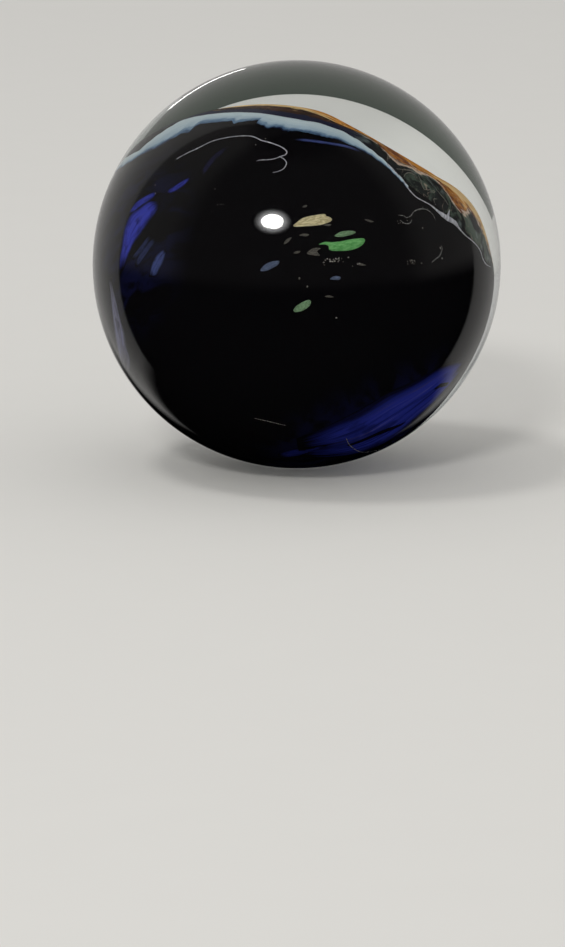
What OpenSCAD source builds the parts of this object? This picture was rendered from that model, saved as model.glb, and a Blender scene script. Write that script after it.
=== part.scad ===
// Solid glass marble: a dark core with a domed cap and laid-on coloured glass,
// sealed in a thick clear casing. The origin is the marble's centre and +Z is up.
// Polar angles run from the cap's axis, azimuths run around it, both seen from the core's centre.

/* [Marble] */
// Outer diameter of the marble
marble_d = 63.5; // [50:0.5:90]

/* [Core] */
// Diameter of the dark core
core_d = 41; // [32:0.5:46]
// How far the core's centre lies below the marble's centre
core_drop = 0.5; // [0:0.1:1]
// How far the cap's axis leans from upright
cap_tilt = 40; // [0:1:90]
// Which way the cap's axis leans, from +X towards +Y
cap_turn = 61; // [0:1:359]

/* [Cap] */
// Polar angle of the rim, where the cap ends
rim_angle = 60; // [48:1:74]
// Height of the cap's dome above its flat back
cap_rise = 6; // [4:0.5:8]

/* [Band] */
// Breadth of the pale band on the cap, in from the rim
band_w = 3.5; // [1.5:0.1:5]
// Thickness of the band's glass
band_t = 0.6; // [0.3:0.1:1]
// Azimuth at which the band starts
band_start = 112; // [0:1:359]
// Sweep of the band around the cap
band_sweep = 128; // [60:1:300]

/* [Thread] */
// Breadth of the white thread below the rim
thread_w = 0.4; // [0.2:0.1:1]
// Distance of the thread below the rim, measured along the cap's axis
thread_drop = 1.8; // [1:0.1:2.4]
// Sweep of the thread, from the end of the band
thread_sweep = 72; // [20:1:120]

/* [Flecks] */
// Depth of the chips, the streaks and the thread in the core's surface
inlay_t = 0.5; // [0.3:0.1:1]

/* [Hidden] */
$fn = 96;

marble_r = marble_d / 2;
core_r = core_d / 2;
rim_z = core_r * cos(rim_angle);
rim_r = core_r * sin(rim_angle);
// radius and centre height of the sphere whose top is the cap's dome
dome_r = (rim_r * rim_r + cap_rise * cap_rise) / (2 * cap_rise);
dome_z = rim_z + cap_rise - dome_r;
// blocks used for cutting reach past the whole marble
reach = marble_d;

// places its children on the core: centre at the core's centre, +Z along the cap's axis
module on_core() {
    translate([0, 0, -core_drop])
        rotate([0, cap_tilt, cap_turn])
            children();
}

// everything on the cap's side of the flat where cap and core meet
module above_rim() {
    translate([-reach, -reach, rim_z])
        cube([2 * reach, 2 * reach, reach]);
}

// the core without its cap, before anything is laid into it
module core_blank() {
    difference() {
        sphere(r = core_r);
        above_rim();
    }
}

// the whole cap, before the band is laid into it
module cap_blank() {
    intersection() {
        translate([0, 0, dome_z])
            sphere(r = dome_r);
        above_rim();
    }
}

// a leaf-shaped cut into the core's surface, pointed at both ends
// arc and breadth are its length and greatest width in degrees around the core
// roll turns it from the direction of rising azimuth towards the cap
module leaf_cut(polar, azimuth, arc, breadth, roll) {
    length = 2 * core_r * sin(arc / 2);
    width = 2 * core_r * sin(breadth / 2);
    side_r = (length * length + width * width) / (4 * width);
    difference() {
        rotate([0, polar, azimuth])
            rotate([0, 0, roll])
                intersection() {
                    translate([side_r - width / 2, 0, 0])
                        cylinder(r = side_r, h = reach);
                    translate([width / 2 - side_r, 0, 0])
                        cylinder(r = side_r, h = reach);
                }
        sphere(r = core_r - inlay_t);
    }
}

// part of a ring around the cap's axis, with its corner at inner_r and low_z
module ring_part(inner_r, low_z, height, start, sweep) {
    rotate([0, 0, start])
        rotate_extrude(angle = sweep)
            translate([inner_r, low_z])
                square([reach - inner_r, height]);
}

module band_cut() {
    difference() {
        ring_part(rim_r - band_w, rim_z - cap_rise, 3 * cap_rise, band_start, band_sweep);
        translate([0, 0, dome_z])
            sphere(r = dome_r - band_t);
    }
}

module thread_cut() {
    difference() {
        ring_part(0, rim_z - thread_drop - thread_w, thread_w, band_start + band_sweep, thread_sweep);
        sphere(r = core_r - inlay_t);
    }
}

module cream_cuts() {
    leaf_cut(polar = 97, azimuth = 212, arc = 15, breadth = 4, roll = 32);
    leaf_cut(polar = 108, azimuth = 216, arc = 6, breadth = 2.4, roll = 32);
}

module green_cuts() {
    leaf_cut(polar = 101.5, azimuth = 223.5, arc = 17, breadth = 3.6, roll = 32);
    leaf_cut(polar = 95, azimuth = 224, arc = 9, breadth = 2.4, roll = 36);
    leaf_cut(polar = 128, azimuth = 221, arc = 8, breadth = 4, roll = 55);
}

module blue_cut() {
    leaf_cut(polar = 118, azimuth = 200.5, arc = 9, breadth = 4, roll = 38);
}

module cobalt_cuts() {
    leaf_cut(polar = 124, azimuth = 328, arc = 56, breadth = 12, roll = 122);
    leaf_cut(polar = 103, azimuth = 129, arc = 34, breadth = 7, roll = 24);
    leaf_cut(polar = 118, azimuth = 145, arc = 13, breadth = 4, roll = 33);
    leaf_cut(polar = 90, azimuth = 154, arc = 10, breadth = 3, roll = 21);
}

// what is laid into the core fills its cuts, flush with the core's surface
module laid_in() {
    on_core()
        intersection() {
            sphere(r = core_r);
            children();
        }
}

module clear_casing() {
    color([0.86, 0.93, 0.9, 0.35])
        difference() {
            sphere(r = marble_r);
            on_core() {
                core_blank();
                cap_blank();
            }
        }
}

module dark_core() {
    color([0.03, 0.03, 0.045])
        on_core()
            difference() {
                core_blank();
                thread_cut();
                cream_cuts();
                green_cuts();
                blue_cut();
                cobalt_cuts();
            }
}

module fumed_cap() {
    color([0.45, 0.27, 0.1])
        on_core()
            difference() {
                cap_blank();
                band_cut();
            }
}

module pale_band() {
    color([0.53, 0.66, 0.72])
        on_core()
            intersection() {
                cap_blank();
                band_cut();
            }
}

module white_thread() {
    color([0.85, 0.84, 0.9])
        laid_in()
            thread_cut();
}

module cream_chips() {
    color([0.78, 0.7, 0.52])
        laid_in()
            cream_cuts();
}

module green_chips() {
    color([0.36, 0.62, 0.36])
        laid_in()
            green_cuts();
}

module blue_chip() {
    color([0.55, 0.66, 0.76])
        laid_in()
            blue_cut();
}

module cobalt_streaks() {
    color([0.08, 0.1, 0.5])
        laid_in()
            cobalt_cuts();
}

clear_casing();
dark_core();
fumed_cap();
pale_band();
white_thread();
cream_chips();
green_chips();
blue_chip();
cobalt_streaks();
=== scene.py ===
import math
import random

import bpy
from mathutils import Matrix, Vector, noise


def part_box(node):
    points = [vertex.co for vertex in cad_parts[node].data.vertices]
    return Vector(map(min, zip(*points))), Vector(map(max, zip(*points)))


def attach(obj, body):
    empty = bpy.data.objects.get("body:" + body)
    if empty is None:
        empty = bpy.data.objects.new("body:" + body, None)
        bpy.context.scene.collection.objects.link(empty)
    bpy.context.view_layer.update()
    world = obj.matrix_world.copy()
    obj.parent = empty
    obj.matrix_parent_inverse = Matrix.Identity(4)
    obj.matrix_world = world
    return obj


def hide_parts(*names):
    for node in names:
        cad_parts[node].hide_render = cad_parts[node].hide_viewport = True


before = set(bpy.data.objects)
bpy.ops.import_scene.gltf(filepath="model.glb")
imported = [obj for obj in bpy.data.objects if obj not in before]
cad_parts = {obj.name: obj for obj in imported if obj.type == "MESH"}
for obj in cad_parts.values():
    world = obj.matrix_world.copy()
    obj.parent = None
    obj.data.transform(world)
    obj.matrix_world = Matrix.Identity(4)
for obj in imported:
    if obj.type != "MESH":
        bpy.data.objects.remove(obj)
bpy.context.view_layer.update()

print("marble: frame loaded")

mm = 0.001

# the ball and its core, read off the frame
marbleLow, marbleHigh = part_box("clear_casing")
marbleRadius = min(marbleHigh - marbleLow) / 2
marbleCentre = (marbleLow + marbleHigh) / 2
coreLow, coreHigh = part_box("dark_core")
coreRadius = (coreHigh.x - coreLow.x) / 2
coreCentre = coreLow + Vector((coreRadius, coreRadius, coreRadius))

# angles are in degrees: polar ones from the cap's axis, azimuths around it
coreShape = {
    "capTilt": 40.0,           # lean of the cap's axis from upright
    "capTurn": 61.0,           # which way it leans, from +X towards +Y
    "rimAngle": 60.0,          # polar angle of the rim
    "capRise": 6.0 * mm,       # height of the dome above its flat back
    "rimSoftness": 0.2 * mm,   # how far the rim is melted round
    "domeRipple": 0.12 * mm,   # unevenness of the hand-shaped dome
    "bulge": 0.75 * mm,        # the gather is fuller low down at the back left
    "bulgeWay": (-0.62, 0.45, -0.64),
    "bulgeSpan": (0.05, 0.7),  # cosines between which it rises
    "flat": 0.5 * mm,          # and a little flat low down at the back right
    "flatWay": (0.47, 0.74, -0.47),
    "flatSpan": (0.9, 0.985),
    # flatter and fuller places on the dome: (polar, azimuth), reach in degrees, height
    "swells": [((24, 255), 30, -1.9 * mm), ((26, 208), 20, -0.6 * mm), ((52, 296), 20, 1.0 * mm)],
}

turn = Matrix.Rotation(math.radians(coreShape["capTurn"]), 3, "Z")
tilt = Matrix.Rotation(math.radians(coreShape["capTilt"]), 3, "Y")
coreAxes = turn @ tilt
rimHeight = coreRadius * math.cos(math.radians(coreShape["rimAngle"]))
rimRadius = coreRadius * math.sin(math.radians(coreShape["rimAngle"]))
domeRadius = (rimRadius ** 2 + coreShape["capRise"] ** 2) / (2 * coreShape["capRise"])
domeHeight = rimHeight + coreShape["capRise"] - domeRadius


def direction(polar, azimuth):
    p = math.radians(polar)
    a = math.radians(azimuth)
    return Vector((math.sin(p) * math.cos(a), math.sin(p) * math.sin(a), math.cos(p)))


def eased(value, low, high):
    share = max(0.0, min(1.0, (value - low) / (high - low)))
    return share * share * (3 - 2 * share)


def skinRadius(way):
    # from the core's centre to its skin: the lesser of ball and dome, blended at the rim
    outward = coreAxes @ way
    bulging = outward.dot(Vector(coreShape["bulgeWay"]))
    flattened = outward.dot(Vector(coreShape["flatWay"]))
    ball = coreRadius + coreShape["bulge"] * eased(bulging, *coreShape["bulgeSpan"])
    ball -= coreShape["flat"] * eased(flattened, *coreShape["flatSpan"])
    if way.z <= 0:
        return ball
    sideSquared = 1 - way.z ** 2
    dome = domeHeight * way.z + math.sqrt(domeRadius ** 2 - domeHeight ** 2 * sideSquared)
    dome += coreShape["domeRipple"] * noise.noise(way * 3.1)
    for place, reach, height in coreShape["swells"]:
        dome += height * eased(-math.degrees(way.angle(direction(*place))), -reach, 0)
    soft = coreShape["rimSoftness"]
    step = max(-30, min(30, (coreRadius - dome) / soft))
    return ball - soft * math.log(1 + math.exp(step))


def onSkin(way, lift=0.0):
    return coreCentre + coreAxes @ (way * (skinRadius(way) + lift))


def fromCore(spot):
    # a spot in the ball, seen from the core's centre and turned with it
    return coreAxes.transposed() @ (spot - coreCentre)


def around(polar, azimuth, roll, along, across):
    # a direction near (polar, azimuth), along and across in degrees
    # roll turns them from the way of rising azimuth towards the cap
    middle = direction(polar, azimuth)
    a = math.radians(azimuth)
    east = Vector((-math.sin(a), math.cos(a), 0))
    north = middle.cross(east)
    reach = math.radians(math.hypot(along, across))
    heading = math.atan2(across, along) + math.radians(roll)
    side = east * math.cos(heading) + north * math.sin(heading)
    return middle * math.cos(reach) + side * math.sin(reach)


def between(table, x):
    # smooth reading of a short table of (x, value) pairs
    if x <= table[0][0]:
        return table[0][1]
    for (x0, y0), (x1, y1) in zip(table, table[1:]):
        if x <= x1:
            return y0 + (y1 - y0) * eased(x, x0, x1)
    return table[-1][1]


def splined(a, b, c, d, t):
    # a smooth curve from b to c, led by its neighbours a and d
    way = (b * 2 + (c - a) * t + (a * 2 - b * 5 + c * 4 - d) * t ** 2
           + (b * 3 - a - c * 3 + d) * t ** 3) * 0.5
    return way.normalized()


def smoothWays(points, count):
    # evenly stepped directions on a smooth curve through given (polar, azimuth) points
    ways = [direction(*point) for point in points]
    ways = [ways[0] * 2 - ways[1]] + ways + [ways[-1] * 2 - ways[-2]]
    path = []
    for i in range(count):
        t = i / (count - 1) * (len(points) - 1)
        k = min(int(t), len(points) - 2)
        path.append(splined(*ways[k:k + 4], t - k))
    return path


def newMesh(name, corners, faces):
    mesh = bpy.data.meshes.new(name)
    mesh.from_pydata(corners, [], faces)
    return mesh


def putInScene(name, data):
    thing = bpy.data.objects.new(name, data)
    bpy.context.scene.collection.objects.link(thing)
    return thing


def hideFrom(thing, *rays):
    for kind in rays:
        setattr(thing, "visible_" + kind, False)


def storePlaces(mesh, name, places):
    # one vector for each corner, for the materials to read
    stored = mesh.attributes.new(name, "FLOAT_VECTOR", "POINT")
    for corner, place in enumerate(places):
        stored.data[corner].vector = place


# the builders below give closed meshes
def ringFaces(sides, rings, flipped=False):
    # the skin over a row of rings, closed by a point at each end
    last = 1 + sides * rings
    faces = []
    for k in range(sides):
        beside = (k + 1) % sides
        faces.append((0, 1 + k, 1 + beside))
        for upper in range(1, last - sides, sides):
            lower = upper + sides
            faces.append((upper + k, lower + k, lower + beside, upper + beside))
        faces.append((last, last - sides + beside, last - sides + k))
    if flipped:
        faces = [(face[0], *reversed(face[1:])) for face in faces]
    return faces


def ballMesh(name, columns, rows, place):
    rings = []
    for row in range(1, rows):
        rings.append([place(180 * row / rows, 360 * column / columns) for column in range(columns)])
    corners = [place(0, 0)]
    for ring in rings:
        corners += ring
    corners.append(place(180, 0))
    return newMesh(name, corners, ringFaces(columns, rows - 1))


def slabMesh(name, ways, lifts, sink, serial=0.0):
    # a thin slab on the core: a grid of directions, lifted on top and sunk underneath
    columns = len(ways)
    rows = len(ways[0])
    count = columns * rows
    cells = [(i, j) for i in range(columns) for j in range(rows)]
    tops = [onSkin(ways[i][j], lifts[i][j]) for i, j in cells]
    backs = [onSkin(ways[i][j], -sink) for i, j in cells]
    faces = []
    for i in range(columns - 1):
        for j in range(rows - 1):
            a = i * rows + j
            b = a + rows
            faces.append((a, b, b + 1, a + 1))
            faces.append((count + a + 1, count + b + 1, count + b, count + a))
    rim = [i * rows for i in range(columns)]
    rim += [(columns - 1) * rows + j for j in range(1, rows)]
    rim += [i * rows + rows - 1 for i in reversed(range(columns - 1))]
    rim += [j for j in reversed(range(1, rows - 1))]
    for a, b in zip(rim, rim[1:] + rim[:1]):
        faces.append((b, a, count + a, count + b))
    mesh = newMesh(name, tops + backs, faces)
    storePlaces(mesh, "stroke", [(i / (columns - 1), 2 * j / (rows - 1) - 1, serial) for i, j in cells] * 2)
    return mesh


def patchMesh(name, outline, height, sink, serial=0.0, perSide=6, rings=6):
    # a flat chip on the core: a smooth closed outline, domed in the middle
    ways = [direction(*point) for point in outline]
    count = len(ways)
    edge = []
    for k in range(count):
        four = [ways[(k + shift) % count] for shift in (-1, 0, 1, 2)]
        edge += [splined(*four, step / perSide) for step in range(perSide)]
    middle = sum(edge, Vector()).normalized()
    sides = len(edge)
    corners = [onSkin(middle, height)]
    places = [(0.0, 0.0, serial)]
    for ring in range(1, rings + 1):
        share = ring / rings
        for k, way in enumerate(edge):
            corners.append(onSkin(middle.lerp(way, share).normalized(), height * (1 - share ** 3)))
            angle = 2 * math.pi * k / sides
            places.append((share * math.cos(angle), share * math.sin(angle), serial))
    for k, way in enumerate(edge):
        corners.append(onSkin(way, -sink))
        places.append(places[1 + (rings - 1) * sides + k])
    corners.append(onSkin(middle, -sink))
    places.append(places[0])
    mesh = newMesh(name, corners, ringFaces(sides, rings + 1, True))
    storePlaces(mesh, "stroke", places)
    return mesh


def tubeMesh(name, path, radii, lift, sides=8, flat=0.7):
    # a thread lying on the core, drawn out to a point at both ends
    spots = [onSkin(way, lift) for way in path]
    corners = [spots[0]]
    places = [(0, 0, 0)]
    for i in range(1, len(path) - 1):
        ahead = (spots[i + 1] - spots[i - 1]).normalized()
        out = coreAxes @ path[i]
        aside = ahead.cross(out).normalized()
        for side in range(sides):
            angle = 2 * math.pi * side / sides
            arm = out * (math.cos(angle) * flat) + aside * math.sin(angle)
            corners.append(spots[i] + arm * radii[i])
            places.append((i / (len(path) - 1), 0, 0))
    corners.append(spots[-1])
    places.append((1, 0, 0))
    mesh = newMesh(name, corners, ringFaces(sides, len(path) - 2, True))
    storePlaces(mesh, "stroke", places)
    return mesh


def addPiece(name, mesh, material, replaces=()):
    mesh.update()
    storePlaces(mesh, "way", [fromCore(corner.co) / coreRadius for corner in mesh.vertices])
    for face in mesh.polygons:
        face.use_smooth = True
    mesh.materials.append(material)
    piece = putInScene(name, mesh)
    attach(piece, "root")
    if replaces:
        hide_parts(*replaces)
    return piece


# material builders
innerRoughness = 0.55          # of all coloured glass under the clear glass


def newMaterial(name):
    material = bpy.data.materials.new(name)
    material.use_nodes = True
    tree = material.node_tree
    return material, tree, tree.nodes["Principled BSDF"]


def addNode(tree, kind, settings=(), **values):
    # values go to sockets by name, or by number as _0, _1 and so on
    node = tree.nodes.new(kind)
    for key, value in dict(settings).items():
        setattr(node, key, value)
    for key, value in values.items():
        socket = node.inputs[int(key[1:])] if key[0] == "_" else node.inputs[key]
        if isinstance(value, bpy.types.NodeSocket):
            tree.links.new(value, socket)
        else:
            socket.default_value = value
    return node


def readAttribute(tree, name):
    return addNode(tree, "ShaderNodeAttribute", {"attribute_name": name}).outputs["Vector"]


def parted(tree, vector):
    return addNode(tree, "ShaderNodeSeparateXYZ", Vector=vector).outputs


def stretched(tree, vector, scale, offset=(0, 0, 0)):
    return addNode(tree, "ShaderNodeMapping", Vector=vector, Scale=scale, Location=offset).outputs[0]


def cloud(tree, vector, scale, detail=4.0, roughness=0.55, distortion=0.0):
    made = addNode(tree, "ShaderNodeTexNoise", Vector=vector, Scale=scale, Detail=detail,
                   Roughness=roughness, Distortion=distortion)
    return made.outputs["Fac"]


def sloped(tree, value, low, high, start=0.0, end=1.0):
    made = addNode(tree, "ShaderNodeMapRange", {"interpolation_type": "SMOOTHSTEP"}, _0=value,
                   _1=low, _2=high, _3=start, _4=end)
    return made.outputs[0]


def sums(tree, operation, first, second=0.5):
    return addNode(tree, "ShaderNodeMath", {"operation": operation}, _0=first, _1=second).outputs[0]


def product(tree, first, second):
    return sums(tree, "MULTIPLY", first, second)


def centred(tree, value, amount):
    # noise about 0.5 made into a waver about nothing
    return product(tree, sums(tree, "SUBTRACT", value), amount)


def vectorSum(tree, operation, *vectors):
    values = {f"_{k}": vector for k, vector in enumerate(vectors)}
    return addNode(tree, "ShaderNodeVectorMath", {"operation": operation}, **values)


def mixed(tree, amount, first, second):
    tones = [(*tone, 1) if isinstance(tone, tuple) else tone for tone in (first, second)]
    return addNode(tree, "ShaderNodeMix", {"data_type": "RGBA"}, _0=amount, _6=tones[0],
                   _7=tones[1]).outputs[2]


def towards(tree, vector, polar, azimuth):
    # how far a place on the core faces a given direction, as the cosine between them
    facing = vectorSum(tree, "NORMALIZE", vector).outputs[0]
    return vectorSum(tree, "DOT_PRODUCT", facing, direction(polar, azimuth)).outputs["Value"]


def finishPaint(tree, shader, colour):
    # coloured glass under clear glass: no gloss of its own, because nothing but glass touches it
    tree.links.new(colour, shader.inputs["Base Color"])
    shader.inputs["Roughness"].default_value = innerRoughness
    shader.inputs["Specular IOR Level"].default_value = 0.0


def streakedGlass(name, dark, light, streaks=(3.0, 2.2, 1.0), low=0.35, high=0.65):
    # opaque glass with fine streaks drawn out along the piece
    material, tree, shader = newMaterial(name)
    stroke = readAttribute(tree, "stroke")
    grain = cloud(tree, stretched(tree, stroke, streaks), 2.0, detail=5.0)
    finishPaint(tree, shader, mixed(tree, sloped(tree, grain, low, high), dark, light))
    return material


print("marble: builders ready")


# the clear casing
casing = {
    "columns": 320,
    "rows": 160,
    "ripple": 0.003 * mm,      # fire-polish waviness, always inwards
    "ior": 1.5,
    "tint": (0.86, 0.97, 0.92),
    "tintDensity": 3.0,        # per metre of glass
}


def casingPlace(polar, azimuth):
    way = direction(polar, azimuth)
    return marbleCentre + way * (marbleRadius + casing["ripple"] * (noise.noise(way * 2.5) - 1))


def clearGlass():
    material, tree, shader = newMaterial("clearGlass")
    place = addNode(tree, "ShaderNodeTexCoord").outputs["Object"]
    striae = cloud(tree, stretched(tree, place, (60, 60, 25)), 1.0, detail=2.0)
    tree.links.new(mixed(tree, striae, (1.0, 1.0, 1.0), (0.97, 0.99, 0.98)), shader.inputs["Base Color"])
    shader.inputs["Roughness"].default_value = 0.0
    shader.inputs["IOR"].default_value = casing["ior"]
    shader.inputs["Transmission Weight"].default_value = 1.0
    absorb = tree.nodes.new("ShaderNodeVolumeAbsorption")
    absorb.inputs["Color"].default_value = (*casing["tint"], 1)
    absorb.inputs["Density"].default_value = casing["tintDensity"]
    tree.links.new(absorb.outputs[0], tree.nodes["Material Output"].inputs["Volume"])
    return material


addPiece("clearBall", ballMesh("clearBall", casing["columns"], casing["rows"], casingPlace),
         clearGlass(), ["clear_casing"])
print("marble: clear casing")


# the black core
blackCore = {
    "columns": 240,
    "rows": 180,
    "black": (0.0035, 0.0032, 0.004),
    "haze": (0.006, 0.007, 0.03),
    "hazeRight": (128, 328),   # where a little cobalt clouds the black
    "hazeLeft": (104, 130),
    "underCap": 0.05 * mm,     # room left under the cap
    "capReach": 50,            # as far as this polar angle
}


def coreGlass():
    material, tree, shader = newMaterial("blackGlass")
    way = readAttribute(tree, "way")
    drift = cloud(tree, stretched(tree, way, (1.2, 1.2, 4.0)), 2.6, distortion=0.8)
    right = sloped(tree, towards(tree, way, *blackCore["hazeRight"]), 0.72, 0.98)
    left = sloped(tree, towards(tree, way, *blackCore["hazeLeft"]), 0.8, 0.99)
    near = sums(tree, "MAXIMUM", right, left)
    amount = product(tree, near, sloped(tree, drift, 0.42, 0.62))
    finishPaint(tree, shader, mixed(tree, amount, blackCore["black"], blackCore["haze"]))
    return material


def corePlace(polar, azimuth):
    way = direction(polar, azimuth)
    return onSkin(way, -blackCore["underCap"] if polar < blackCore["capReach"] else 0.0)


addPiece("blackCore", ballMesh("blackCore", blackCore["columns"], blackCore["rows"], corePlace),
         coreGlass(), ["dark_core"])
print("marble: black core")


# the fumed cap; edges are polar angles by azimuth
fumedCap = {
    "columns": 360,
    "rows": 120,
    "edge": [(0, 61), (60, 60.5), (100, 62), (115, 60), (130, 57), (150, 55), (200, 53), (222, 55),
             (236, 61), (246, 65), (262, 65.5), (285, 65), (300, 65.5), (312, 64), (330, 61), (360, 61)],
    "amberEdge": [(0, 46), (60, 42), (112, 51), (122, 50), (135, 49), (150, 47), (172, 45), (190, 43),
                  (206, 42), (216, 43.4), (224.8, 45), (228.8, 47), (231.7, 50.5), (234.5, 54),
                  (238.2, 55.4), (245, 53.4), (250.3, 53), (256, 50), (261, 47.7), (266, 47.4), (270, 54.5),
                  (274.7, 59.2), (279.4, 57.5), (286.6, 54.4), (291, 55.2), (298, 57), (305, 59), (312, 60),
                  (320, 60), (335, 52), (360, 46)],
    # the next table places the painted glow line along the dome's silhouette
    "glowEdge": [(0, 36), (60, 30), (120, 42), (130, 44), (140, 42.5), (150, 39), (160, 36), (172, 33),
                 (195, 31), (210, 34), (225, 38.5), (232, 41), (240, 40), (250, 38), (262, 37), (270, 38),
                 (277, 44.6), (283, 49.4), (292, 53.6), (300, 56.6), (312, 58), (322, 54), (336, 46),
                 (360, 36)],
    # (polar, azimuth) and reach in degrees
    "darkSpots": [((57, 234), 11), ((62, 249), 5), ((62.5, 262), 4.5), ((60.5, 268.5), 4)],
    "rustSpots": [((48.5, 238), 9), ((54.5, 274.5), 4.5)],
    "umberSpots": [((40, 140), 18), ((38, 165), 22), ((38, 190), 20), ((42, 212), 12)],
    "navyWay": (50, 165),      # the middle of its navy side
    "frill": 0.5,              # how much the edge wavers, in degrees
    "lift": 0.03 * mm,         # above the core's skin
    "seam": 0.005 * mm,        # and below it at the edge
    "depth": 0.35 * mm,
    "patchScale": 6.5,         # the sizes of its patches, veins, grain and swirls
    "veinScale": 11.0,
    "grainScale": 5.0,
    "swirlScale": 3.4,
    "honey": (0.86, 0.6, 0.27),
    "amber": (0.68, 0.28, 0.04),
    "rust": (0.17, 0.05, 0.022),
    "umber": (0.07, 0.03, 0.016),
    "moss": (0.075, 0.105, 0.08),
    "slate": (0.16, 0.2, 0.19),
    "black": (0.008, 0.008, 0.01),
    "navy": (0.016, 0.018, 0.045),
    "wisp": (0.8, 0.62, 0.48),
}


def capPlace(polar, azimuth):
    wander = fumedCap["frill"] * noise.noise(direction(90, azimuth) * 9)
    edge = between(fumedCap["edge"], azimuth) + wander
    if polar <= 90:
        share = polar / 90
        return onSkin(direction(edge * share, azimuth), fumedCap["lift"] * (1 - share ** 8))
    share = (180 - polar) / 90
    return onSkin(direction(edge * share, azimuth), -fumedCap["depth"] * (1 - share ** 4) - fumedCap["seam"])


def spotted(tree, way, wobble, spots):
    # one where any of the spots lies, fading out at their edges
    amount = 0.0
    for place, reach in spots:
        facing = sums(tree, "ADD", towards(tree, way, *place), wobble)
        edge = math.cos(math.radians(reach))
        inner = math.cos(math.radians(reach * 0.55))
        amount = sums(tree, "MAXIMUM", amount, sloped(tree, facing, edge, inner))
    return amount


def fumedGlass():
    material, tree, shader = newMaterial("fumedGlass")
    cap = fumedCap
    way = readAttribute(tree, "way")
    inAmber, inGlow = parted(tree, readAttribute(tree, "zones"))[:2]
    curl = addNode(tree, "ShaderNodeTexNoise", Vector=way, Scale=4.0, Detail=3.0).outputs["Color"]
    bent = vectorSum(tree, "MULTIPLY_ADD", curl, (0.2, 0.2, 0.2), way).outputs[0]

    # marbled moss and slate on black, between the rim and the amber
    patch = cloud(tree, bent, cap["patchScale"], detail=6.0, roughness=0.6, distortion=0.7)
    shifted = stretched(tree, bent, (1, 1, 1), (3, 7, 1))
    vein = cloud(tree, shifted, cap["veinScale"], detail=6.0, roughness=0.62)
    colour = mixed(tree, sloped(tree, patch, 0.44, 0.56), cap["black"], cap["moss"])
    colour = mixed(tree, sloped(tree, vein, 0.5, 0.66), colour, cap["slate"])
    colour = mixed(tree, sloped(tree, vein, 0.4, 0.3), colour, cap["black"])
    shiver = centred(tree, vein, 0.03)
    darker = product(tree, spotted(tree, way, shiver, cap["darkSpots"]), 0.92)
    colour = mixed(tree, darker, colour, cap["black"])
    navySide = sloped(tree, towards(tree, way, *cap["navyWay"]), 0.66, 0.88)
    colour = mixed(tree, navySide, colour, cap["navy"])

    # amber over the crown of the dome: umber and rust at its edge, honey on top
    grain = cloud(tree, stretched(tree, bent, (2, 2, 9)), cap["grainScale"], detail=6.0)
    wobble = centred(tree, grain, 0.5)
    reach = sums(tree, "ADD", inAmber, wobble)
    amber = mixed(tree, sloped(tree, vein, 0.4, 0.58), cap["rust"], cap["amber"])
    amber = mixed(tree, sloped(tree, reach, 0.2, 0.05), amber, cap["rust"])
    mottle = cloud(tree, stretched(tree, bent, (3, 3, 7)), 6.0, detail=6.0)
    mottle = sloped(tree, mottle, 0.4, 0.55, 0.95, 0.35)
    rusty = product(tree, spotted(tree, way, shiver, cap["rustSpots"]), mottle)
    amber = mixed(tree, rusty, amber, cap["rust"])
    shadowed = product(tree, navySide, sloped(tree, patch, 0.35, 0.6, 1.0, 0.5))
    amber = mixed(tree, shadowed, amber, cap["umber"])
    sooty = mixed(tree, sloped(tree, patch, 0.4, 0.55), cap["umber"], cap["black"])
    soot = product(tree, spotted(tree, way, shiver, cap["umberSpots"]), 0.9)
    amber = mixed(tree, soot, amber, sooty)
    speck = product(tree, sloped(tree, vein, 0.56, 0.66), sloped(tree, inGlow, -0.9, -0.1))
    amber = mixed(tree, speck, amber, cap["honey"])

    # deeper in the crown the amber swirls with rust and honey
    swirl = stretched(tree, bent, (1, 1, 3), (8, 1, 6))
    swirl = cloud(tree, swirl, cap["swirlScale"], detail=7.0, roughness=0.6, distortion=1.4)
    crown = mixed(tree, sloped(tree, swirl, 0.36, 0.5), cap["rust"], cap["amber"])
    crown = mixed(tree, sloped(tree, swirl, 0.54, 0.7), crown, cap["honey"])
    crown = mixed(tree, product(tree, sloped(tree, grain, 0.56, 0.66), 0.7), crown, cap["umber"])
    amber = mixed(tree, sloped(tree, inGlow, 0.0, 0.35), amber, crown)

    # painted glow: a pale gold line painted where the amber dome turns away at its silhouette, in place of
    # light shining through its thin edge
    insideGlow = sums(tree, "ADD", inGlow, product(tree, wobble, 0.4))
    paintedGlow = product(tree, sloped(tree, insideGlow, -0.16, 0.02), sloped(tree, insideGlow, 1.3, 0.6))
    paintedGlow = product(tree, paintedGlow, sloped(tree, grain, 0.34, 0.56, 0.35, 1.0))
    amber = mixed(tree, paintedGlow, amber, cap["honey"])
    colour = mixed(tree, sloped(tree, reach, -0.04, 0.04), colour, amber)

    # pale wisps along the amber's edge and a few threads in the moss
    mossSide = sums(tree, "SUBTRACT", 1.0, navySide)
    fromEdge = sums(tree, "ABSOLUTE", reach)
    seam = product(tree, sloped(tree, fromEdge, 0.12, 0.03), sloped(tree, vein, 0.42, 0.52))
    seam = product(tree, product(tree, seam, mossSide), 0.8)
    lines = cloud(tree, stretched(tree, bent, (1, 1, 1.4), (4, 4, 4)), 5.5, detail=2.0, distortion=0.6)
    near = sums(tree, "ABSOLUTE", sums(tree, "SUBTRACT", lines))
    thread = product(tree, sloped(tree, near, 0.01, 0.002), sloped(tree, patch, 0.4, 0.55))
    thread = product(tree, product(tree, thread, mossSide), 0.35)
    finishPaint(tree, shader, mixed(tree, sums(tree, "MAXIMUM", seam, thread), colour, cap["wisp"]))
    return material


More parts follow.
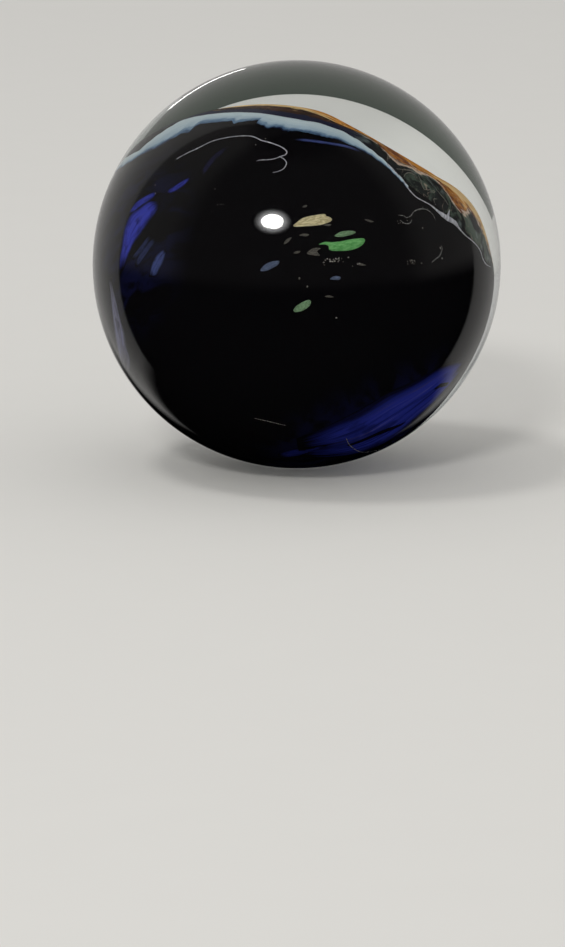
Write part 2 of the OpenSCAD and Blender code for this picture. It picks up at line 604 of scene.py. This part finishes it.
def zonedCap():
    # zones tell how far a place lies inside the amber and inside the edge of the painted glow line, in tens
    # of degrees
    mesh = ballMesh("fumedCap", fumedCap["columns"], fumedCap["rows"], capPlace)
    zones = []
    for corner in mesh.vertices:
        way = fromCore(corner.co).normalized()
        polar = math.degrees(math.acos(max(-1, min(1, way.z))))
        azimuth = math.degrees(math.atan2(way.y, way.x)) % 360
        amber = between(fumedCap["amberEdge"], azimuth) - polar
        insideGlow = between(fumedCap["glowEdge"], azimuth) - polar
        zones.append((amber / 10, insideGlow / 10, 0))
    storePlaces(mesh, "zones", zones)
    return mesh


addPiece("fumedCap", zonedCap(), fumedGlass(), ["fumed_cap"])
print("marble: fumed cap")


# the pale band; upper and lower edges as polar angles by azimuth
paleBand = {
    "upper": [(82, 66), (94, 66), (104, 67), (112, 67.4), (116, 65), (120, 62.8), (125, 60), (128, 56.4),
              (136, 54.9), (142, 53.7), (150, 52.7), (159, 52), (169, 50.9), (181, 51), (189, 50), (198, 48),
              (208.8, 48.8), (216.7, 51.8), (224.3, 55.5), (229, 58.2), (233.8, 60.9), (237.8, 62.8),
              (243, 65.2)],
    "lower": [(82, 67), (93, 68.8), (104, 70.6), (110, 70.8), (116, 70.5), (127, 70.2), (132, 69.2),
              (137, 67.3), (140, 65.8), (144.4, 66.2), (145.2, 63.2), (147, 62), (155, 61.5), (160.6, 60.9),
              (162.4, 60.4), (164.8, 62.2), (166.6, 61), (171, 59.4), (173.6, 58.3), (174.8, 61),
              (177.4, 61.4), (180.6, 62.8), (182.4, 61.8), (185.7, 61.4), (187.2, 62.4), (194, 60.5),
              (202.5, 60), (211, 58.8), (215.4, 59.2), (220, 59.5), (224.6, 60.1), (228.4, 61.1),
              (232.3, 62.3), (236.2, 63.8), (239.8, 65.3), (243, 66.6)],
    "columns": 420,
    "rows": 13,
    "height": 0.084 * mm,
    "lift": 0.03 * mm,
    "sink": 0.25 * mm,
    "upperWaver": 0.35,        # unevenness of its edges, in degrees
    "lowerWaver": 0.3,
    "fadeIn": 6,               # degrees over which it thins out at its ends
    "fadeOut": 3,
    "pale": (0.66, 0.78, 0.83),
    "mid": (0.36, 0.5, 0.62),
    "deep": (0.1, 0.19, 0.32),
    "edge": (0.014, 0.022, 0.06),
}


def bandGrid():
    first = paleBand["upper"][0][0]
    last = paleBand["upper"][-1][0]
    ways = []
    lifts = []
    for i in range(paleBand["columns"]):
        azimuth = first + (last - first) * i / (paleBand["columns"] - 1)
        upper = between(paleBand["upper"], azimuth)
        lower = between(paleBand["lower"], azimuth)
        upper += paleBand["upperWaver"] * noise.noise(Vector((azimuth * 0.11, 3, 0)))
        lower += paleBand["lowerWaver"] * noise.noise(Vector((azimuth * 0.9, 9, 0)))
        endFade = min(1, (azimuth - first) / paleBand["fadeIn"], (last - azimuth) / paleBand["fadeOut"])
        ways.append([])
        lifts.append([])
        for j in range(paleBand["rows"]):
            across = j / (paleBand["rows"] - 1)
            ways[-1].append(direction(upper + (lower - upper) * across, azimuth))
            crown = max(0.0, 1 - (2 * across - 1) ** 4)
            lifts[-1].append(paleBand["lift"] + paleBand["height"] * crown * max(0.0, endFade))
    return ways, lifts


def bandGlass():
    material, tree, shader = newMaterial("paleBandGlass")
    stroke = readAttribute(tree, "stroke")
    across = parted(tree, stroke)[1]
    brush = cloud(tree, stretched(tree, stroke, (14, 1.6, 1)), 1.6, detail=6.0)
    fine = cloud(tree, stretched(tree, stroke, (5, 9, 1)), 1.4, detail=4.0)
    level = sums(tree, "ADD", across, centred(tree, brush, 0.9))
    colour = mixed(tree, sloped(tree, level, -0.5, 1.0), paleBand["pale"], paleBand["mid"])
    colour = mixed(tree, sloped(tree, fine, 0.42, 0.7, 0.0, 0.3), colour, paleBand["mid"])
    colour = mixed(tree, sloped(tree, level, 0.5, 0.9), colour, paleBand["deep"])
    colour = mixed(tree, sloped(tree, level, 0.8, 1.06), colour, paleBand["edge"])
    finishPaint(tree, shader, colour)
    return material


bandMesh = slabMesh("paleBand", *bandGrid(), paleBand["sink"])
addPiece("paleBand", bandMesh, bandGlass(), ["pale_band"])
print("marble: pale band")


# threads: the one that runs on from the band, the curled one and the faint ones
threads = {
    "rimThread": {
        "path": [(60.6, 232), (62.8, 236.4), (64.4, 240.3), (66.7, 243.4), (67.9, 247.2), (67.6, 251),
                 (67.1, 255), (67.3, 259.6), (67, 264.2), (66, 270.2), (66.5, 274), (66.5, 279),
                 (65.6, 284.7), (65.1, 289.8), (65.2, 294), (66.3, 297), (66.1, 302), (64, 310)],
        "radius": 0.1 * mm,
        "swell": [(0, 1.8), (0.06, 1.2), (0.12, 0.9), (0.18, 0.75), (0.35, 0.75), (0.41, 1.9), (0.47, 3.9),
                  (0.53, 3.2), (0.59, 1.2), (0.65, 0.75), (1, 0.7)],
        "replaces": ["white_thread"],
    },
    "rimSpur": {
        "path": [(66.4, 265.4), (64.8, 265.8), (62.8, 266.5)],
        "radius": 0.12 * mm,
        "swell": [(0, 2.0), (1, 0.5)],
    },
    "curledThread": {
        "path": [(78.5, 147), (76.6, 151), (74.9, 155), (73.2, 158), (71.3, 161.2), (69, 169), (68, 175.4),
                 (68.4, 178.6), (69.3, 181.3), (69.6, 184.4), (70, 187.2), (70.8, 190.6), (72.2, 193),
                 (73.8, 193), (75, 191.6), (76.4, 190), (77.4, 188), (78.3, 184.8), (79, 183.4)],
        "radius": 0.052 * mm,
        "swell": [(0, 0.8), (0.1, 0.9), (0.115, 2.0), (0.13, 0.9), (0.3, 1.0), (0.4, 1.5), (0.45, 1.2),
                  (0.5, 1.7), (0.56, 1.3), (0.62, 1.5), (0.75, 1.3), (0.85, 0.9), (0.97, 1.3), (1, 0.8)],
    },
    "curlBranch": {
        "path": [(75.2, 191.4), (75.9, 193.4), (77.4, 194.8), (79.9, 194.6), (81.6, 193), (82.6, 191.2)],
        "radius": 0.05 * mm,
        "swell": [(0, 1), (0.5, 1.2), (0.9, 0.8), (1, 1.2)],
    },
}

whiteTones = {"dark": (0.36, 0.36, 0.42), "light": (0.72, 0.72, 0.78)}
threadLift = 0.06 * mm
threadSteps = 14               # rings to each point of a path
threadWaver = 0.35             # unevenness of their thickness
fineSwell = [(0, 0.7), (0.5, 1.2), (1, 0.7)]

fineThreads = {
    "faint": {
        "dark": (0.06, 0.06, 0.065), "light": (0.4, 0.39, 0.37), "radius": 0.045 * mm,
        "paths": {
            "faintLoop": [(79.5, 241.2), (78.4, 243.8), (78.4, 245), (76.7, 246.6), (74.3, 247.5),
                          (71.8, 249.9), (70.2, 252.8), (69.9, 255), (70.3, 257.2), (71.6, 258.6)],
            "faintSide": [(80.9, 242.6), (80.9, 245), (79.6, 247), (77.6, 247.6)],
            "faintDrop": [(86.8, 262.4), (84.6, 263.6), (82.5, 265), (79.5, 265.3), (78.6, 264.2)],
            "faintUnder": [(175, 339), (170.5, 320), (164, 316)],
            "faintLow": [(139.5, 326), (134, 335), (122, 345.5), (112, 349)],
        },
    },
    "moss": {
        "dark": (0.09, 0.09, 0.08), "light": (0.36, 0.34, 0.28), "radius": 0.045 * mm,
        "paths": {
            "mossHook": [(51.8, 230.2), (51.6, 232.4), (54.1, 233), (57.6, 232.2)],
            "mossHem": [(53.4, 234.6), (53.8, 237.8), (53.8, 242), (51.3, 246.6)],
            "mossArc": [(60.6, 236.4), (58, 241), (55.6, 245.2), (56, 247.6)],
            "mossLoop": [(62.6, 240.4), (60.4, 241.2), (58.2, 243.4), (57.4, 246), (58.6, 248)],
            "mossDrop": [(55.8, 249.1), (58.5, 249.7), (61, 249.9), (62.6, 251.2)],
            "mossFork": [(64.9, 257.1), (63.5, 256.6), (62.5, 258.5)],
            "mossLine": [(57.2, 259), (58.8, 261.5), (59.6, 263.7), (61.2, 265.8)],
        },
    },
    "wisp": {
        "dark": (0.42, 0.28, 0.2), "light": (0.85, 0.7, 0.58), "radius": 0.075 * mm,
        "paths": {
            "wispLong": [(47.8, 247), (50.3, 248), (51.1, 252.9), (48.4, 260), (47.8, 265.6), (49.2, 269),
                         (52.8, 268.8)],
            "wispShort": [(52.4, 269.4), (54.2, 270.1), (57.2, 270.4), (58.6, 273.4), (59.2, 276)],
        },
    },
}


def layThread(name, spec, material):
    path = smoothWays(spec["path"], threadSteps * len(spec["path"]))
    radii = []
    for i in range(len(path)):
        share = i / (len(path) - 1)
        uneven = 1 + threadWaver * noise.noise(Vector((share * 40, len(name), 0)))
        tip = min(1, 12 * (1 - share) + 0.2)
        radii.append(spec["radius"] * between(spec["swell"], share) * uneven * tip)
    mesh = tubeMesh(name, path, radii, threadLift)
    addPiece(name, mesh, material, spec.get("replaces", ()))


whiteGlass = streakedGlass("whiteThreadGlass", whiteTones["dark"], whiteTones["light"], (30, 1, 1))
for name, spec in threads.items():
    layThread(name, spec, whiteGlass)
for kind, spec in fineThreads.items():
    fineGlass = streakedGlass(kind + "ThreadGlass", spec["dark"], spec["light"], (12, 1, 1))
    for name, path in spec["paths"].items():
        layThread(name, {"path": path, "radius": spec["radius"], "swell": fineSwell}, fineGlass)
print("marble: threads")


# chips pressed flat, each by its outline of (polar, azimuth) points
chips = {
    "creamChip": {
        "slot": "cream_glass", "replaces": ["cream_chips"], "height": 0.16 * mm,
        "dark": (0.5, 0.42, 0.22), "light": (0.86, 0.76, 0.48),
        "outlines": [
            [(101, 205.6), (99, 206.2), (97, 207.6), (95.6, 209.4), (94.4, 211.4), (92.6, 214.6),
             (93, 215.6), (93, 217.4), (94, 218), (96.5, 215.6), (98.8, 211.4)]],
    },
    "greenChip": {
        "slot": "green_glass", "replaces": ["green_chips"], "height": 0.16 * mm,
        "dark": (0.1, 0.36, 0.1), "light": (0.22, 0.56, 0.2),
        "outlines": [
            [(104.2, 216.8), (102.4, 218.6), (101.5, 221), (99.8, 224), (98, 226.4), (96, 229.4),
             (94.8, 231.8), (95.6, 232.6), (97.9, 231.9), (100.9, 229.2), (103.3, 225), (104.5, 221.6),
             (103.3, 220.4), (103.4, 218.8)]],
    },
    "sageChip": {
        "slot": "green_glass", "height": 0.12 * mm,
        "dark": (0.13, 0.22, 0.12), "light": (0.26, 0.42, 0.24),
        "outlines": [
            [(98.9, 221.2), (97.6, 221.8), (96.2, 223), (94.4, 226), (94, 228), (95.6, 227), (98.1, 223.7)],
            [(130.6, 217.7), (129, 217.9), (127, 219.3), (124.8, 221.7), (124.8, 223.3), (126.6, 223.6),
             (129.1, 221.9), (130.8, 219.1)]],
    },
    "blueChip": {
        "slot": "blue_glass", "replaces": ["blue_chip"], "height": 0.12 * mm,
        "dark": (0.06, 0.075, 0.13), "light": (0.15, 0.19, 0.3),
        "outlines": [
            [(120.2, 197.6), (117.8, 198.8), (115.9, 201.4), (115, 204.2), (116.4, 204.2), (118, 202.6),
             (119.8, 200)],
            [(114.2, 226.4), (112.4, 227.6), (111.8, 229.8), (112.8, 230), (113.6, 228.4)]],
    },
    "greyChip": {
        "slot": "cream_glass", "height": 0.08 * mm,
        "dark": (0.06, 0.055, 0.05), "light": (0.16, 0.15, 0.13),
        "outlines": [
            [(109, 213.8), (107.4, 214.4), (106, 215.8), (105.3, 218), (106.8, 217.2), (107.9, 218.8),
             (108.7, 216.4)],
            [(110.6, 208.8), (109.6, 209.4), (109, 211), (110, 210.6)],
            [(103.6, 208.6), (102.4, 210), (102, 212), (103, 211.2)],
            [(96.8, 215.8), (95.8, 216.8), (95.3, 218.4), (96.2, 218)],
            [(88, 229.4), (87.2, 231), (87, 233), (87.9, 231.6)],
            [(104.6, 233.2), (103.6, 234.6), (103.2, 237), (104.2, 235.4)],
            [(120.9, 227.8), (119.8, 229), (119.4, 231.4), (120.3, 230)],
            [(93, 206.2), (92, 206.6), (91.6, 207.6), (92.6, 207.4)],
            [(108.4, 204), (106.6, 204.4), (105.2, 206), (106.4, 205.8), (107.8, 205)]],
    },
}
chipSink = 0.2 * mm

for name, spec in chips.items():
    glass = streakedGlass(name + "Glass", spec["dark"], spec["light"], (1.6, 1.6, 1))
    for number, outline in enumerate(spec["outlines"]):
        mesh = patchMesh(name, outline, spec["height"], chipSink, number)
        addPiece(f"{name}{number + 1}", mesh, glass, spec.get("replaces", ()))
print("marble: chips")


# cobalt drawn thin over the black, each stroke between two edges of (polar, azimuth) points
cobaltStrokes = [
    {"strength": 1, "tone": "cobalt",
     "upper": [(113, 119), (108, 122), (105, 124.2), (99.6, 126), (96, 129.5), (95, 134.7), (94, 139.7),
               (95, 145.6)],
     "lower": [(113, 122.4), (109, 128.2), (106, 132), (103.6, 136.3), (100.8, 140), (98.6, 143.6),
               (96.4, 146.2)]},
    {"strength": 0.85, "tone": "cobalt",
     "upper": [(95, 126.6), (92, 130.8), (91, 135.8), (90.4, 142.6)],
     "lower": [(95.2, 128.6), (94, 134), (92.8, 139.3), (91, 143)]},
    {"strength": 0.7, "tone": "cobalt",
     "upper": [(91.8, 148), (89.8, 152.3), (87, 158.2)],
     "lower": [(92.4, 149), (92, 152.6), (90, 156.4), (87.6, 158.6)]},
    {"strength": 0.62, "tone": "steel",
     "upper": [(121, 139.6), (117, 143), (114.6, 146.7), (113.4, 150.8)],
     "lower": [(121.6, 142), (120.6, 145), (117.4, 148.9), (114.2, 151.4)]},
    {"strength": 0.28, "tone": "steel",
     "upper": [(114.4, 131.6), (111, 137.4), (108, 144.6)],
     "lower": [(115.4, 132.6), (113.4, 138.4), (109.4, 145.6)]},
    {"strength": 0.22, "tone": "steel",
     "upper": [(111.4, 130), (109.4, 136), (106.4, 142)],
     "lower": [(112.4, 131), (111, 137), (107.4, 143)]},
    {"strength": 0.1, "tone": "violet",
     "upper": [(85.6, 162.6), (80, 164), (73.4, 168.4)],
     "lower": [(87, 164), (82, 165.8), (74, 169.6)]},
    {"strength": 0.8, "tone": "lilac",
     "upper": [(109, 108.6), (113.4, 106.8), (117.4, 101.4), (119.6, 94), (119.4, 83.7), (116, 71)],
     "lower": [(110, 111.4), (118, 109.2), (122, 106), (125.8, 102), (127, 94.6), (128, 88), (122, 74)]},
    {"strength": 0.6, "tone": "steel",
     "upper": [(65.6, 192.6), (63.6, 199), (62, 206.5), (60.2, 214), (60, 221)],
     "lower": [(66.2, 193.2), (64.8, 199.4), (63.2, 206.8), (61.4, 214.4), (60.8, 221.4)]},
    {"strength": 1, "tone": "deep",
     "upper": [(155, 338), (147.8, 317), (138.4, 305.8), (127, 299.6), (114.3, 302), (104.7, 305.5),
               (96.5, 312.7), (91, 319)],
     "lower": [(144.4, 353.6), (133, 346), (122.6, 342.6), (117.8, 338.5), (114.3, 334), (110.7, 329),
               (105.3, 326.2), (100.4, 323.6), (95, 322.4), (91.4, 321.4)]},
    {"strength": 0.4, "tone": "deep",
     "upper": [(148, 4), (150, 350), (146, 334)],
     "lower": [(145, 6), (144, 350), (142, 336)]},
]

# black gaps drawn through the broad streak
blackGaps = [
    {"upper": [(136, 334), (129.4, 327.4), (124.3, 325.2), (115.4, 327)],
     "lower": [(134, 336), (129.6, 332), (125, 329.4), (116.8, 328.8)]},
    {"upper": [(107.6, 313.4), (104, 314.4), (99, 320)],
     "lower": [(107, 314.8), (104, 317.2), (99.4, 321.6)]},
]

cobaltTones = {
    "black": (0.0035, 0.0032, 0.004),
    "cobalt": (0.045, 0.058, 0.5),
    "deep": (0.028, 0.04, 0.36),
    "violet": (0.09, 0.09, 0.38),
    "steel": (0.1, 0.14, 0.42),
    "lilac": (0.26, 0.26, 0.4),
    "gapDark": (0.003, 0.003, 0.004),
    "gapLight": (0.007, 0.007, 0.02),
}


strokeSpread = 0.16            # how far the strokes' thin edges run out
strokeSink = 0.15 * mm
gapBase = 0.05 * mm            # the gaps lie over the strokes
gapHeight = 0.03 * mm
gapSink = 0.02 * mm


def edgedGrid(first, second, spread=0.0, columns=96, rows=15, base=0.006 * mm, height=0.05 * mm):
    # the strip between two given edges, swollen a little along its middle
    upper = smoothWays(first, columns)
    lower = smoothWays(second, columns)
    ways = []
    lifts = []
    for i in range(columns):
        ways.append([])
        lifts.append([])
        for j in range(rows):
            v = j / (rows - 1)
            across = v + spread * (2 * v - 1)
            ways[-1].append((upper[i] * (1 - across) + lower[i] * across).normalized())
            lifts[-1].append(base + height * 4 * v * (1 - v))
    return ways, lifts


def cobaltGlass(name, strength, tone, serial):
    material, tree, shader = newMaterial(name)
    stroke = readAttribute(tree, "stroke")
    lengthwise, crosswise = parted(tree, stroke)[:2]
    along = sums(tree, "ABSOLUTE", sums(tree, "SUBTRACT", lengthwise))
    across = sums(tree, "ABSOLUTE", crosswise)
    hairs = cloud(tree, stretched(tree, stroke, (1.3, 5.5, 1), (serial, serial * 2, 0)), 1.8, detail=6.0)
    patch = cloud(tree, stretched(tree, stroke, (3.2, 1.1, 1), (serial * 3, 1, 0)), 1.5, detail=3.0)
    ragged = sums(tree, "ADD", across, centred(tree, hairs, 0.7))
    tips = sums(tree, "ADD", along, centred(tree, hairs, 0.5))
    ends = product(tree, sloped(tree, tips, 0.48, 0.3), sloped(tree, along, 0.5, 0.44))
    fade = product(tree, sloped(tree, ragged, 1.0, 0.5), ends)
    body = sloped(tree, hairs, 0.34, 0.5, 0.35, 1.0)
    body = product(tree, body, sloped(tree, patch, 0.36, 0.5, 0.5, 1.0))
    amount = product(tree, product(tree, body, fade), strength)
    blue = mixed(tree, sloped(tree, hairs, 0.52, 0.75), cobaltTones[tone], cobaltTones["violet"])
    finishPaint(tree, shader, mixed(tree, amount, cobaltTones["black"], blue))
    return material


for number, stroke in enumerate(cobaltStrokes):
    name = f"cobaltStroke{number + 1}"
    mesh = slabMesh(name, *edgedGrid(stroke["upper"], stroke["lower"], strokeSpread), strokeSink, number)
    glass = cobaltGlass(name + "Glass", stroke["strength"], stroke["tone"], number)
    addPiece(name, mesh, glass, ["cobalt_streaks"])
gapGlass = streakedGlass("gapGlass", cobaltTones["gapDark"], cobaltTones["gapLight"], (2, 4, 1))
for number, gap in enumerate(blackGaps):
    grid = edgedGrid(gap["upper"], gap["lower"], base=gapBase, height=gapHeight)
    mesh = slabMesh("blackGap", *grid, gapSink, number)
    addPiece(f"blackGap{number + 1}", mesh, gapGlass)
print("marble: cobalt strokes")


# crumbs and seeds: tiny lumps scattered in clusters on the core
crumbs = {
    "seed": 7,
    "columns": 8,
    "rows": 5,
    "lift": 0.04 * mm,
    "roll": 33,                # how the clusters lean
    "dark": (0.1, 0.09, 0.075),
    "light": (0.45, 0.43, 0.4),
    # (polar, azimuth), spread in degrees along and across, how many, size in mm
    "clusters": [
        ((107, 225), 4.5, 1, 22, 0.12), ((92, 253.5), 3.5, 1.2, 14, 0.09), ((104.5, 234), 2.4, 0.8, 8, 0.09),
        ((80, 245), 3, 1.5, 6, 0.07), ((118.8, 214.5), 0.4, 0.2, 1, 0.16), ((120.5, 219), 0.4, 0.2, 1, 0.14),
        ((125.7, 237.4), 0.4, 0.2, 1, 0.15), ((103.9, 229.3), 0.4, 0.2, 1, 0.15),
        ((77.8, 253.3), 0.4, 0.2, 1, 0.13), ((82.5, 266.7), 0.4, 0.2, 1, 0.13),
        ((79.5, 264.5), 0.4, 0.4, 2, 0.1), ((71, 252), 7, 4, 5, 0.06), ((68, 181), 5, 2, 3, 0.08),
        ((100, 178), 14, 8, 5, 0.07), ((88, 140), 6, 5, 3, 0.08),
    ],
}


def lumpPlace(polar, azimuth, stretch, shift, middle):
    way = direction(polar, azimuth)
    rough = 1 + 0.3 * noise.noise(way * 1.7 + Vector((shift, 0, 0)))
    return Vector([part * width for part, width in zip(way, stretch)]) * rough + middle


def crumbMesh():
    draw = random.Random(crumbs["seed"])
    corners = []
    faces = []
    for (polar, azimuth), spreadAlong, spreadAcross, count, size in crumbs["clusters"]:
        for _ in range(count):
            along = draw.gauss(0, spreadAlong / 2)
            across = draw.gauss(0, spreadAcross / 2)
            middle = onSkin(around(polar, azimuth, crumbs["roll"], along, across), crumbs["lift"])
            stretch = [draw.uniform(0.5, 1.0) * size * mm for _ in range(3)]
            shift = draw.uniform(0, 50)
            lump = ballMesh("lump", crumbs["columns"], crumbs["rows"],
                            lambda p, a: lumpPlace(p, a, stretch, shift, middle))
            start = len(corners)
            corners += [corner.co.copy() for corner in lump.vertices]
            faces += [tuple(start + k for k in face.vertices) for face in lump.polygons]
            bpy.data.meshes.remove(lump)
    return newMesh("paleCrumbs", corners, faces)


def crumbGlass():
    material, tree, shader = newMaterial("crumbGlass")
    way = readAttribute(tree, "way")
    shade = sloped(tree, cloud(tree, way, 60.0, detail=1.0), 0.35, 0.65)
    finishPaint(tree, shader, mixed(tree, shade, crumbs["dark"], crumbs["light"]))
    return material


addPiece("paleCrumbs", crumbMesh(), crumbGlass())
print("marble: crumbs")


# studio
studio = {
    "floorHalf": 6.0,
    "floorTone": (0.74, 0.735, 0.715),
    "skyTone": (1.0, 0.99, 0.97),
    "skyStrength": 0.6,
    "wallTone": (0.5, 0.49, 0.475),   # what gloss sees of the pale wall behind
    "sideTone": (0.15, 0.145, 0.14),  # and of the dim room at the sides
    "frontTone": (0.045, 0.042, 0.042),
    "ceilingShade": 0.75,             # how much darker it sees the ceiling straight above
    "lampWay": (-0.224, -0.812, 0.540),
    "lampDistance": 2.4,
    "lampSize": (0.5, 0.33),
    "lampPower": 17.0,
    "lampTone": (1.0, 0.985, 0.96),
    "glowSize": (1.0, 0.7),    # the glow round the lamp
    "glowStrength": 11.0,
    "glowBehind": 1.02,        # in lamp distances
    "softWay": (-0.35, -0.1, 0.93),
    "softSize": (0.5, 0.5),
    "softPower": 9.0,
    "stripWay": (-0.17, 0.97, 0.16),
    "stripSize": (0.42, 0.05),
    "stripPower": 0.5,
    "cardTone": (0.04, 0.056, 0.042),
    "cardHalf": 3,             # the dark card behind the ball, in ball radii
    "cardStart": 0.8,
    "cardReach": 1.81,
    "cardLift": 0.2 * mm,
}


def plainMaterial(name, tone):
    material, tree, shader = newMaterial(name)
    place = addNode(tree, "ShaderNodeTexCoord").outputs["Object"]
    grain = cloud(tree, place, 90.0)
    soft = tuple(0.985 * part for part in tone)
    tree.links.new(mixed(tree, grain, soft, tone), shader.inputs["Base Color"])
    shader.inputs["Roughness"].default_value = 0.9
    shader.inputs["Specular IOR Level"].default_value = 0.0
    return material


def addStage(name, low, high, height, material):
    flat = [low, (high[0], low[1]), high, (low[0], high[1])]
    corners = [(x, y, height) for x, y in flat]
    mesh = newMesh(name, corners, [(0, 1, 2, 3)])
    mesh.materials.append(material)
    stage = putInScene(name, mesh)
    hideFrom(stage, "glossy")
    return stage


half = studio["floorHalf"]
floorHeight = marbleLow.z
paleFloor = plainMaterial("paleFloor", studio["floorTone"])
addStage("floor", (-half, -half), (half, half), floorHeight, paleFloor)

# a low dark card behind the ball, seen only through the glass, to draw its upper edge
cardLow = (-studio["cardHalf"] * marbleRadius, studio["cardStart"] * marbleRadius)
cardHigh = (studio["cardHalf"] * marbleRadius, studio["cardReach"] * marbleRadius)
darkCard = plainMaterial("darkCard", studio["cardTone"])
card = addStage("edgeCard", cardLow, cardHigh, floorHeight + studio["cardLift"], darkCard)
hideFrom(card, "camera", "diffuse", "shadow")


def studioWorld():
    # an even pale sky lights everything; gloss sees a pale wall behind and a dim room in front
    world = bpy.data.worlds.new("studio")
    world.use_nodes = True
    tree = world.node_tree
    way = addNode(tree, "ShaderNodeTexCoord").outputs["Generated"]
    sideways, _, height = parted(tree, way)
    aside = sums(tree, "ABSOLUTE", sideways)
    level = vectorSum(tree, "MULTIPLY", way, (1, 1, 0)).outputs[0]
    level = vectorSum(tree, "NORMALIZE", level).outputs[0]
    behind = parted(tree, level)[1]
    room = sloped(tree, height, -0.12, 0.02)
    dim = mixed(tree, sloped(tree, behind, -0.5, -0.1), studio["frontTone"], studio["sideTone"])
    dim = mixed(tree, room, (0.0, 0.0, 0.0), dim)
    wall = product(tree, sloped(tree, behind, 0.45, 0.5), sloped(tree, behind, 0.4, 1.0, 0.62, 1.0))
    low = product(tree, sloped(tree, height, -0.2, -0.34), sloped(tree, aside, 0.42, 0.26))
    low = sums(tree, "MAXIMUM", low, sloped(tree, height, -0.5, -0.62))
    wall = product(tree, wall, sums(tree, "SUBTRACT", 1.0, low))
    glossTone = mixed(tree, wall, dim, studio["wallTone"])
    ceiling = sloped(tree, height, 0.9, 0.985, 0.0, studio["ceilingShade"])
    glossTone = mixed(tree, ceiling, glossTone, (0.0, 0.0, 0.0))
    sky = (*studio["skyTone"], 1)
    plain = addNode(tree, "ShaderNodeBackground", Color=sky, Strength=studio["skyStrength"])
    gloss = addNode(tree, "ShaderNodeBackground", Color=glossTone, Strength=1.0)
    path = addNode(tree, "ShaderNodeLightPath")
    through = sums(tree, "SUBTRACT", 1.0, path.outputs["Is Transmission Ray"])
    mirrored = product(tree, path.outputs["Is Glossy Ray"], through)
    both = addNode(tree, "ShaderNodeMixShader", Fac=mirrored)
    tree.links.new(plain.outputs[0], both.inputs[1])
    tree.links.new(gloss.outputs[0], both.inputs[2])
    tree.links.new(both.outputs[0], tree.nodes["World Output"].inputs["Surface"])
    return world


bpy.context.scene.world = studioWorld()


def standOff(thing, way, distance):
    # off the ball's centre and facing it
    way = Vector(way).normalized()
    thing.location = marbleCentre + way * distance
    thing.rotation_mode = "QUATERNION"
    thing.rotation_quaternion = way.to_track_quat("Z", "Y")


def addLamp(name, way, distance, size, power, shape="ELLIPSE"):
    data = bpy.data.lights.new(name, "AREA")
    data.shape = shape
    data.size, data.size_y = size
    data.energy = power
    data.color = studio["lampTone"]
    lamp = putInScene(name, data)
    standOff(lamp, way, distance)
    hideFrom(lamp, "camera", "transmission")
    return lamp


def addGlow(name, way, distance, size, strength):
    # a round card that fades out towards its edge, seen by gloss alone
    material = bpy.data.materials.new(name)
    material.use_nodes = True
    tree = material.node_tree
    tree.nodes.clear()
    place = addNode(tree, "ShaderNodeTexCoord").outputs["Object"]
    reach = vectorSum(tree, "LENGTH", place).outputs["Value"]
    fade = sums(tree, "POWER", sloped(tree, reach, 1.0, 0.3), 1.6)
    shine = addNode(tree, "ShaderNodeEmission", Strength=product(tree, fade, strength))
    tree.links.new(shine.outputs[0], addNode(tree, "ShaderNodeOutputMaterial").inputs["Surface"])
    sides = 48
    corners = [(0, 0, 0)]
    for k in range(sides):
        angle = 2 * math.pi * k / sides
        corners.append((math.cos(angle), math.sin(angle), 0))
    mesh = newMesh(name, corners, [(0, 1 + k, 1 + (k + 1) % sides) for k in range(sides)])
    mesh.materials.append(material)
    glow = putInScene(name, mesh)
    standOff(glow, way, distance)
    glow.scale = (size[0] / 2, size[1] / 2, 1)
    hideFrom(glow, "camera", "diffuse", "transmission", "shadow")


# the key lamp with its glow, a thin strip behind and a soft lamp above
lampDistance = studio["lampDistance"]
addLamp("keyLamp", studio["lampWay"], lampDistance, studio["lampSize"], studio["lampPower"])
glowDistance = studio["glowBehind"] * lampDistance
addGlow("lampGlow", studio["lampWay"], glowDistance, studio["glowSize"], studio["glowStrength"])
addLamp("stripLamp", studio["stripWay"], lampDistance, studio["stripSize"], studio["stripPower"], "RECTANGLE")
softbox = addLamp("softbox", studio["softWay"], lampDistance, studio["softSize"], studio["softPower"])
hideFrom(softbox, "glossy")

view = {
    "elevation": 9.3,          # of the camera, in degrees
    "distance": 0.711,         # from the ball's centre
    "lens": 173.5,
    "sensor": 36,
    "aimDrop": 0.0332,         # it aims this far under the ball's centre
    "aimSide": 0.0022,         # and this far to its left
}

camera = bpy.data.cameras.new("camera")
camera.lens = view["lens"]
camera.sensor_width = view["sensor"]
camera.clip_start = 0.01
camera.clip_end = 50
cameraObject = putInScene("camera", camera)
rise = math.radians(view["elevation"])
cameraObject.location = marbleCentre + Vector((0, -math.cos(rise), math.sin(rise))) * view["distance"]
aim = marbleCentre + Vector((-view["aimSide"], 0, -view["aimDrop"]))
cameraObject.rotation_mode = "QUATERNION"
cameraObject.rotation_quaternion = (cameraObject.location - aim).to_track_quat("Z", "Y")
bpy.context.scene.camera = cameraObject
bpy.context.scene.view_settings.view_transform = "Standard"
print("marble: studio and camera")
